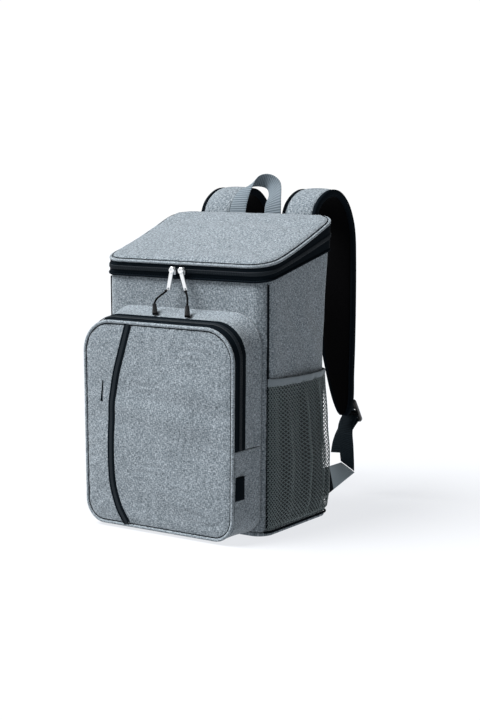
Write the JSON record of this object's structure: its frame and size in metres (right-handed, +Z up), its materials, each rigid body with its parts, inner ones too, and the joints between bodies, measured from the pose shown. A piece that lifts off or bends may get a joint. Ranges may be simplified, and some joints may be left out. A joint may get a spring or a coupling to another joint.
{
  "type": "cooler backpack",
  "caption": "Padded cooler backpack with a domed zip lid, a rounded front pocket, net side pockets, a carry handle and shoulder straps.",
  "frame": {"origin": "centre of the base panel's underside, where the bag stands", "axes": "+X to the viewer's right when facing the front pocket, +Y from the front towards the straps, +Z up"},
  "size_m": [0.3196, 0.4076, 0.5006],
  "materials": {
    "heather_fabric": "mélange polyester weave, matt",
    "pale_piping": "woven piping, matt",
    "black_tape": "woven tape and binding, matt",
    "zip_coil": "moulded nylon coil",
    "pocket_net": "knitted net",
    "plain_fabric": "plain woven, matt",
    "strap_spacer_mesh": "knitted spacer mesh, matt",
    "dark_webbing": "ribbed webbing",
    "handle_webbing": "ribbed webbing",
    "black_plastic": "moulded acetal, satin",
    "black_cord": "braided cord",
    "silver_metal": "plated zinc die-cast, satin"
  },
  "bodies": {
    "root": {"base_panel": "heather_fabric", "front_panel": "heather_fabric", "side_panel_right": "heather_fabric", "side_panel_left": "heather_fabric", "back_panel": "heather_fabric", "lid_panel": "heather_fabric", "pocket_panel": "heather_fabric", "pocket_gusset_upper": "heather_fabric", "pocket_gusset_lower": "heather_fabric", "strap_pad_right": "heather_fabric", "strap_pad_left": "heather_fabric", "lid_piping": "pale_piping", "pocket_piping": "pale_piping", "corner_piping_right": "black_tape", "corner_piping_left": "black_tape", "base_piping": "black_tape", "lid_zip_band": "black_tape", "lid_band_piping": "black_tape", "pocket_zip_tape": "black_tape", "pocket_zip_stripe": "black_tape", "lead_slit": "black_tape", "side_label": "black_tape", "strap_binding_inner_right": "black_tape", "strap_binding_inner_left": "black_tape", "strap_binding_outer_right": "black_tape", "strap_binding_outer_left": "black_tape", "lid_zip_coil": "zip_coil", "pocket_zip_coil": "zip_coil", "mesh_pocket_right": "pocket_net", "mesh_pocket_left": "pocket_net", "mesh_hem_right": "plain_fabric", "mesh_hem_left": "plain_fabric", "corner_tab_right": "plain_fabric", "corner_tab_left": "plain_fabric", "strap_lining_right": "strap_spacer_mesh", "strap_lining_left": "strap_spacer_mesh", "lower_webbing_right": "dark_webbing", "lower_webbing_left": "dark_webbing", "webbing_tail_right": "dark_webbing", "webbing_tail_left": "dark_webbing", "strap_end_loop_right": "dark_webbing", "strap_end_loop_left": "dark_webbing", "tab_binding_right": "dark_webbing", "tab_binding_left": "dark_webbing", "carry_handle": "handle_webbing", "ladder_lock_right": "black_plastic", "ladder_lock_left": "black_plastic", "pull_grip_right": "black_plastic", "pull_grip_left": "black_plastic", "pull_loop_right": "black_cord", "pull_loop_left": "black_cord", "zip_slider_right": "silver_metal", "zip_slider_left": "silver_metal", "pull_tab_right": "silver_metal", "pull_tab_left": "silver_metal"}
  },
  "joints": []
}
